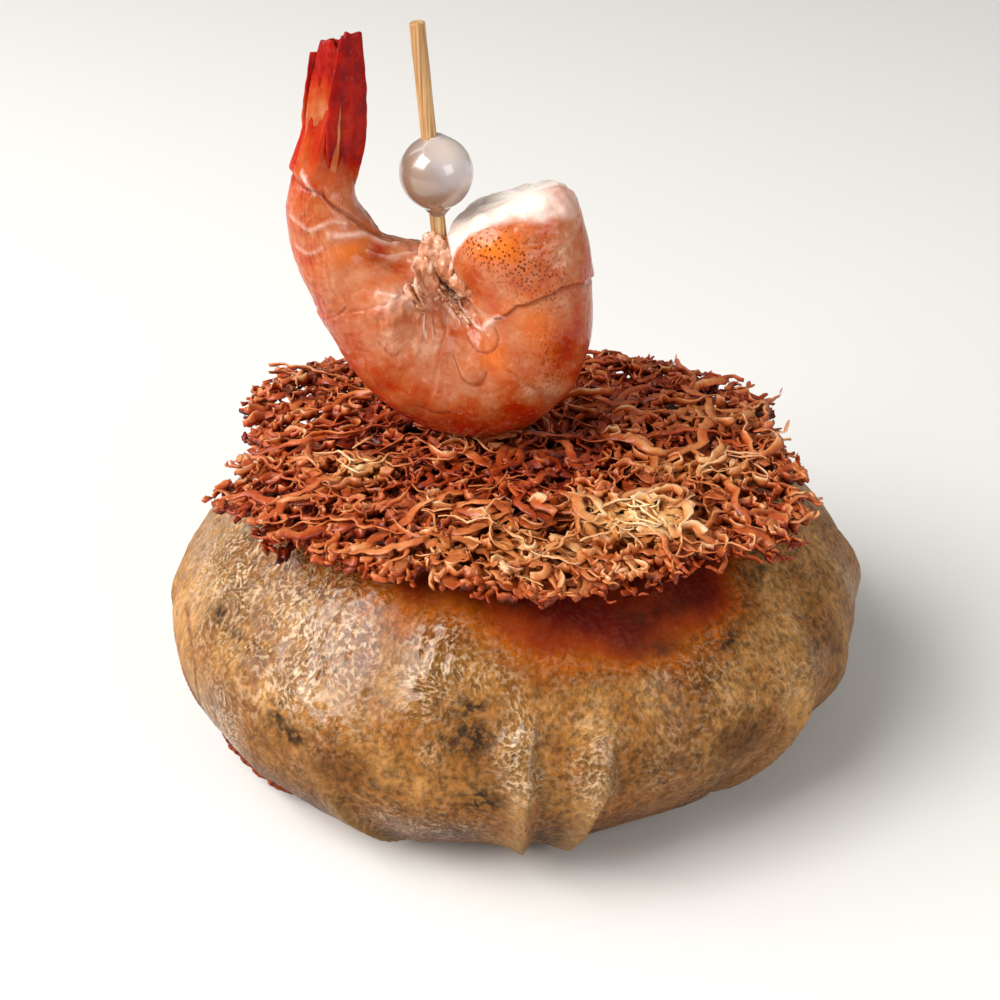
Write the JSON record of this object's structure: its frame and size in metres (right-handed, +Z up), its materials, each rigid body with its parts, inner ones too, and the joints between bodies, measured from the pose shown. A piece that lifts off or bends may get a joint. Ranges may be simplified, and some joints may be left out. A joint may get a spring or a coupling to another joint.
{
  "type": "seafood pastilla",
  "caption": "Round seafood pastilla of thin pleated pastry, topped with a lacy fried crisp and a curled tail-on prawn held upright by a bamboo pick with a pearl bead.",
  "frame": {"origin": "centre of the flat base that the pastilla stands on", "axes": "+Z up, -Y towards the side from which the prawn's open curl is seen, +X to the right from that side"},
  "size_m": [0.1044, 0.1052, 0.1065],
  "materials": {
    "pastry": "satin",
    "crisp": "satin",
    "prawn": "gloss",
    "bamboo": "matte",
    "pearl": "gloss"
  },
  "bodies": {
    "root": {"pastilla": "pastry", "lace_crisp": "crisp", "prawn": "prawn", "pick": "bamboo", "bead": "pearl"}
  },
  "joints": []
}
